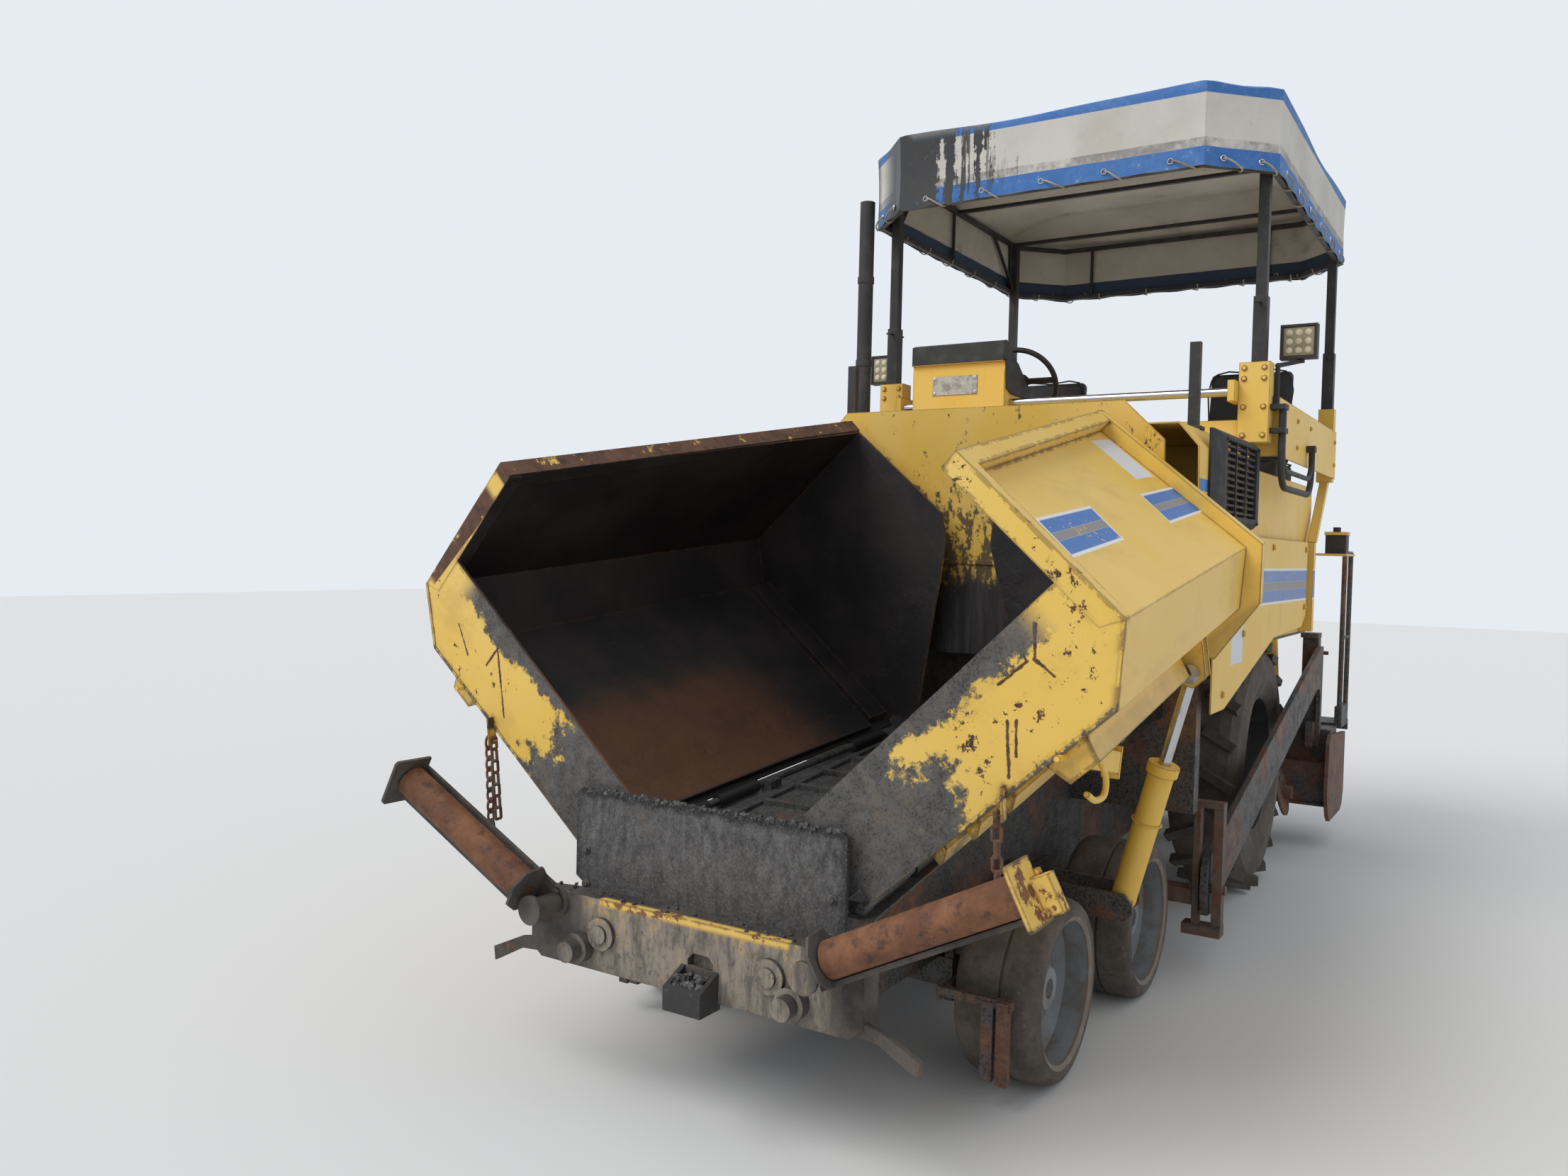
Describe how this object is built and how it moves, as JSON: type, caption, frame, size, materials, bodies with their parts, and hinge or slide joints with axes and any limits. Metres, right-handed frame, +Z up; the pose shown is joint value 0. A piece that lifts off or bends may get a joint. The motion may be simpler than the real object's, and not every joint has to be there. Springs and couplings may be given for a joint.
{
  "type": "wheeled asphalt paver",
  "caption": "Wheeled asphalt paver with folding hopper wings, push rollers, sliding console, cloth canopy, drive wheels and a towed screed.",
  "frame": {"origin": "on the ground under the middle of the overall length, in the middle plane", "axes": "+X forwards to the hopper, +Y to the machine's left, +Z up"},
  "size_m": [5.45, 2.3036, 3.65],
  "materials": {
    "yellow_paint": "worn gloss",
    "dark_steel": "greasy, tarred",
    "rusty_steel": "rusted",
    "rubber": "matt",
    "rim_paint": "worn",
    "chrome_steel": "polished",
    "black_plastic": "matt",
    "seat_vinyl": "matt",
    "canopy_fabric": "coated cloth",
    "grey_steel": "sooty"
  },
  "bodies": {
    "chassis": {"chassis": "dark_steel", "front_apron": "dark_steel", "push_beam": "dark_steel", "hopper_floor": "dark_steel", "hopper_rear_wall": "yellow_paint", "front_axles": "dark_steel", "rear_axle": "dark_steel", "engine": "dark_steel", "hood": "yellow_paint", "grilles": "black_plastic", "side_panels": "yellow_paint", "deck": "yellow_paint", "sign_panels": "yellow_paint", "seats": "seat_vinyl", "post_brackets": "yellow_paint", "post_tubes": "dark_steel", "console_rail": "chrome_steel", "lamps": "black_plastic", "exhaust": "grey_steel", "hoses": "rubber", "tow_points": "rusty_steel"},
    "push_arm_left": {"push_arm_left": "rusty_steel"},
    "push_arm_right": {"push_arm_right": "rusty_steel"},
    "push_roller_left": {"push_roller_left": "rusty_steel"},
    "push_roller_right": {"push_roller_right": "rusty_steel"},
    "wing_left": {"wing_left": "yellow_paint", "wing_chain_left": "rusty_steel"},
    "wing_right": {"wing_right": "yellow_paint", "wing_chain_right": "rusty_steel"},
    "wing_barrel_left": {"wing_barrel_left": "yellow_paint"},
    "wing_barrel_right": {"wing_barrel_right": "yellow_paint"},
    "wing_rod_left": {"wing_rod_left": "chrome_steel"},
    "wing_rod_right": {"wing_rod_right": "chrome_steel"},
    "knuckle_far_left": {"knuckle_far_left": "dark_steel"},
    "wheel_far_left": {"tyre_far_left": "rubber", "rim_far_left": "rim_paint"},
    "knuckle_far_right": {"knuckle_far_right": "dark_steel"},
    "wheel_far_right": {"tyre_far_right": "rubber", "rim_far_right": "rim_paint"},
    "knuckle_near_left": {"knuckle_near_left": "dark_steel"},
    "wheel_near_left": {"tyre_near_left": "rubber", "rim_near_left": "rim_paint"},
    "knuckle_near_right": {"knuckle_near_right": "dark_steel"},
    "wheel_near_right": {"tyre_near_right": "rubber", "rim_near_right": "rim_paint"},
    "rear_wheel_left": {"rear_tyre_left": "rubber", "rear_rim_left": "dark_steel"},
    "rear_wheel_right": {"rear_tyre_right": "rubber", "rear_rim_right": "dark_steel"},
    "console": {"console": "yellow_paint", "steering_wheel": "black_plastic"},
    "canopy": {"canopy_frame": "dark_steel", "canopy_cloth": "canopy_fabric"},
    "screed": {"tow_arms": "dark_steel", "screed_body": "dark_steel", "screed_sides": "rusty_steel", "walkway": "dark_steel"},
    "lift_barrels": {"lift_barrels": "yellow_paint"},
    "lift_rods": {"lift_rods": "chrome_steel"},
    "auger": {"auger": "dark_steel"}
  },
  "joints": [
    {"name": "wing_left_fold", "type": "hinge", "parent": "chassis", "child": "wing_left", "pos_m": [2.433, 0.468, 0.666], "axis": [0.9928, 0.0593, -0.1043], "range_deg": [-30, 0]},
    {"name": "wing_barrel_left_tilt", "type": "hinge", "parent": "chassis", "child": "wing_barrel_left", "pos_m": [1.20187, 0.79021, 0.46358], "axis": [0.9928, 0.0593, -0.1043], "range_deg": [-25.7, 0]},
    {"name": "wing_rod_left_slide", "type": "slide", "parent": "wing_barrel_left", "child": "wing_rod_left", "axis": [0.0849, 0.2679, 0.9597], "range_m": [-0.26132, 0]},
    {"name": "push_arm_left_fold", "type": "hinge", "parent": "chassis", "child": "push_arm_left", "pos_m": [2.58, 0.455, 0.56], "axis": [1, 0, 0], "range_deg": [-27, 0]},
    {"name": "push_roller_left_spin", "type": "hinge", "parent": "push_arm_left", "child": "push_roller_left", "pos_m": [2.65, 0.74977, 0.7304], "axis": [0, 0.891, 0.454], "continuous": true},
    {"name": "wing_right_fold", "type": "hinge", "parent": "chassis", "child": "wing_right", "pos_m": [2.433, -0.468, 0.666], "axis": [-0.9928, 0.0593, 0.1043], "range_deg": [-30, 0]},
    {"name": "wing_barrel_right_tilt", "type": "hinge", "parent": "chassis", "child": "wing_barrel_right", "pos_m": [1.20187, -0.79021, 0.46358], "axis": [-0.9928, 0.0593, 0.1043], "range_deg": [-25.7, 0]},
    {"name": "wing_rod_right_slide", "type": "slide", "parent": "wing_barrel_right", "child": "wing_rod_right", "axis": [0.0849, -0.2679, 0.9597], "range_m": [-0.26132, 0]},
    {"name": "push_arm_right_fold", "type": "hinge", "parent": "chassis", "child": "push_arm_right", "pos_m": [2.58, -0.455, 0.56], "axis": [-1, 0, 0], "range_deg": [-27, 0]},
    {"name": "push_roller_right_spin", "type": "hinge", "parent": "push_arm_right", "child": "push_roller_right", "pos_m": [2.65, -0.74977, 0.7304], "axis": [0, -0.891, 0.454], "continuous": true},
    {"name": "steer_far_left", "type": "hinge", "parent": "chassis", "child": "knuckle_far_left", "pos_m": [1.651, 0.455, 0.28], "axis": [0, 0, 1], "range_deg": [-18, 18]},
    {"name": "wheel_far_left_spin", "type": "hinge", "parent": "knuckle_far_left", "child": "wheel_far_left", "pos_m": [1.651, 0.64, 0.28], "axis": [0, 1, 0], "continuous": true},
    {"name": "steer_far_right", "type": "hinge", "parent": "chassis", "child": "knuckle_far_right", "pos_m": [1.651, -0.455, 0.28], "axis": [0, 0, 1], "range_deg": [-18, 18]},
    {"name": "wheel_far_right_spin", "type": "hinge", "parent": "knuckle_far_right", "child": "wheel_far_right", "pos_m": [1.651, -0.64, 0.28], "axis": [0, 1, 0], "continuous": true},
    {"name": "steer_near_left", "type": "hinge", "parent": "chassis", "child": "knuckle_near_left", "pos_m": [0.776, 0.455, 0.28], "axis": [0, 0, 1], "range_deg": [-18, 18]},
    {"name": "wheel_near_left_spin", "type": "hinge", "parent": "knuckle_near_left", "child": "wheel_near_left", "pos_m": [0.776, 0.64, 0.28], "axis": [0, 1, 0], "continuous": true},
    {"name": "steer_near_right", "type": "hinge", "parent": "chassis", "child": "knuckle_near_right", "pos_m": [0.776, -0.455, 0.28], "axis": [0, 0, 1], "range_deg": [-18, 18]},
    {"name": "wheel_near_right_spin", "type": "hinge", "parent": "knuckle_near_right", "child": "wheel_near_right", "pos_m": [0.776, -0.64, 0.28], "axis": [0, 1, 0], "continuous": true},
    {"name": "rear_wheel_left_spin", "type": "hinge", "parent": "chassis", "child": "rear_wheel_left", "pos_m": [-1.022, 0.64, 0.606], "axis": [0, 1, 0], "continuous": true},
    {"name": "rear_wheel_right_spin", "type": "hinge", "parent": "chassis", "child": "rear_wheel_right", "pos_m": [-1.022, -0.64, 0.606], "axis": [0, 1, 0], "continuous": true},
    {"name": "console_slide", "type": "slide", "parent": "chassis", "child": "console", "axis": [0, 1, 0], "range_m": [0, 0.9]},
    {"name": "canopy_lift", "type": "slide", "parent": "chassis", "child": "canopy", "axis": [0, 0, 1], "range_m": [-0.45, 0]},
    {"name": "screed_lift", "type": "hinge", "parent": "chassis", "child": "screed", "pos_m": [0.378, 0, 0.33], "axis": [0, 1, 0], "range_deg": [-2.8, 0]},
    {"name": "lift_barrels_tilt", "type": "hinge", "parent": "chassis", "child": "lift_barrels", "pos_m": [-1.932, 0, 1.31], "axis": [0, 1, 0], "range_deg": [-1.91, 0]},
    {"name": "lift_rods_slide", "type": "slide", "parent": "lift_barrels", "child": "lift_rods", "axis": [-0.321, 0, -0.9471], "range_m": [0, 0.12334]},
    {"name": "auger_spin", "type": "hinge", "parent": "chassis", "child": "auger", "pos_m": [-1.882, 0, 0.33], "axis": [0, 1, 0], "continuous": true}
  ],
  "couplings": [
    {"joint": "wing_barrel_left_tilt", "follows": "wing_left_fold", "ratio": 0.84992},
    {"joint": "wing_rod_left_slide", "follows": "wing_left_fold", "m_per_rad": 0.49717},
    {"joint": "wing_barrel_right_tilt", "follows": "wing_right_fold", "ratio": 0.84992},
    {"joint": "wing_rod_right_slide", "follows": "wing_right_fold", "m_per_rad": 0.49717},
    {"joint": "steer_far_right", "follows": "steer_far_left", "ratio": 1},
    {"joint": "steer_near_left", "follows": "steer_far_left", "ratio": 1},
    {"joint": "steer_near_right", "follows": "steer_far_left", "ratio": 1},
    {"joint": "lift_barrels_tilt", "follows": "screed_lift", "ratio": 0.6677},
    {"joint": "lift_rods_slide", "follows": "screed_lift", "m_per_rad": -2.4988}
  ]
}
